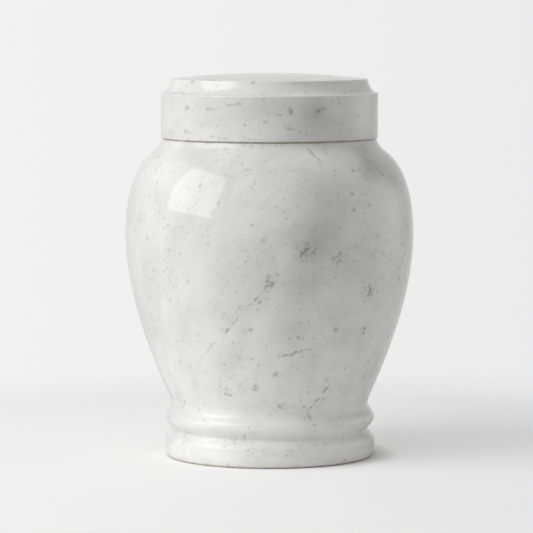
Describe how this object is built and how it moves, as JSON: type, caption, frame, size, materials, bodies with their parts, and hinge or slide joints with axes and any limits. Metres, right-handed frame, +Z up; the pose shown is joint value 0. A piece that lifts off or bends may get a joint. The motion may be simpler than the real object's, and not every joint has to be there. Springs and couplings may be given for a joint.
{
  "type": "cremation urn",
  "caption": "Turned marble urn: hollow swelling body on a beaded foot, closed by a lift-off lid with a stepped, slightly domed crown.",
  "frame": {"origin": "centre of the underside, level with the floor it stands on", "axes": "+Z up along the turning axis; the urn is round, so +X and +Y are any two level directions, with +Y away from the viewer at azimuth 0"},
  "size_m": [0.2, 0.2, 0.266],
  "materials": {
    "marble": "white grey-veined marble, turned and polished; cavity left tooled",
    "marble_lid": "white grey-veined marble, turned and polished; underside honed"
  },
  "bodies": {
    "root": {"vessel": "marble", "lid": "marble_lid"}
  },
  "joints": []
}
